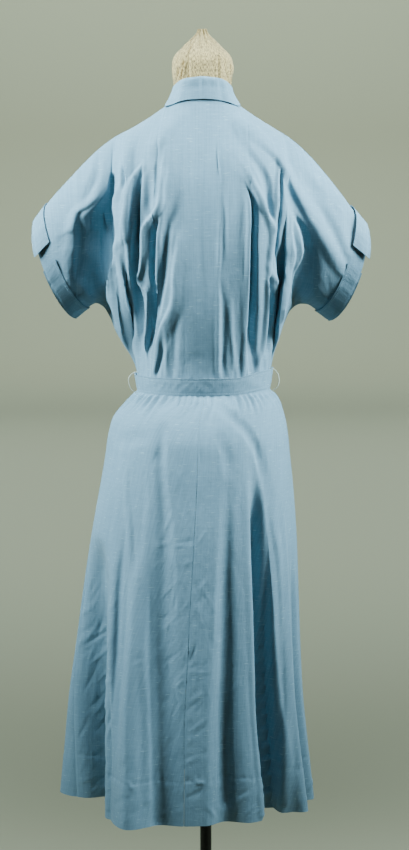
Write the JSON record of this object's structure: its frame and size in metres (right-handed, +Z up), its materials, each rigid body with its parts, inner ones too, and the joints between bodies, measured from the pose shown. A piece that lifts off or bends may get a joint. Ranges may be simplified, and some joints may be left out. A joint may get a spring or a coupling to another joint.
{
  "type": "dress on a dress form",
  "caption": "Short-sleeved shirtwaist dress with turn-down collar, folded bodice, self belt and flared gathered skirt, on a limbless dress form with a pole and round base.",
  "frame": {"origin": "middle of the underside of the stand's base", "axes": "+Z up along the pole, +Y to the front of the dress, +X to the wearer's right-hand side as seen from the back of the dress"},
  "size_m": [0.5294, 0.3571, 1.5915],
  "materials": {
    "blue_cotton": "matt, slubbed plain weave",
    "button_plastic": "satin",
    "stockinette": "matt knit",
    "black_steel": "satin paint",
    "black_iron": "satin paint"
  },
  "bodies": {
    "root": {"collar": "blue_cotton", "bodice_back": "blue_cotton", "bodice_front_left": "blue_cotton", "bodice_front_right": "blue_cotton", "cuff_left": "blue_cotton", "cuff_right": "blue_cotton", "button_band": "blue_cotton", "skirt_back_left": "blue_cotton", "skirt_back_right": "blue_cotton", "skirt_front_left": "blue_cotton", "skirt_front_right": "blue_cotton", "skirt_placket": "blue_cotton", "belt": "blue_cotton", "belt_buckle": "blue_cotton", "button_1": "button_plastic", "button_2": "button_plastic", "button_3": "button_plastic", "button_4": "button_plastic", "button_5": "button_plastic", "button_6": "button_plastic", "button_7": "button_plastic", "form_body": "stockinette", "form_pole": "black_steel", "form_base": "black_iron"}
  },
  "joints": []
}
